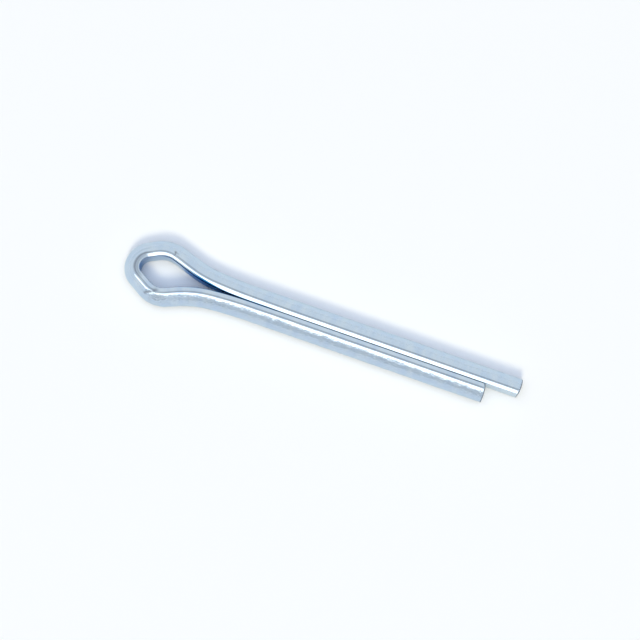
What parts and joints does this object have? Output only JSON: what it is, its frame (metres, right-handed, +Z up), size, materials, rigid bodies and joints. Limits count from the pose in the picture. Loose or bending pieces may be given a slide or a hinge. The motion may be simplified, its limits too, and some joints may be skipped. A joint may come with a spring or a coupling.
{
  "type": "split cotter pin",
  "caption": "Split cotter pin of folded half-round steel wire: a teardrop eye and two unequal straight legs, to lock a pin or castle nut through a cross hole.",
  "frame": {"origin": "on the axis of the closed shank, where both legs have come parallel beside the eye", "axes": "+X along the shank from the eye to the tips, +Y towards the longer leg, +Z up from the side it lies on"},
  "size_m": [0.0339, 0.0053, 0.0028],
  "materials": {
    "zinc_steel": "bright blue-white zinc plate over drawn half-round wire, glossy with a fine grain"
  },
  "bodies": {
    "root": {"cotter_pin": "zinc_steel"}
  },
  "joints": []
}
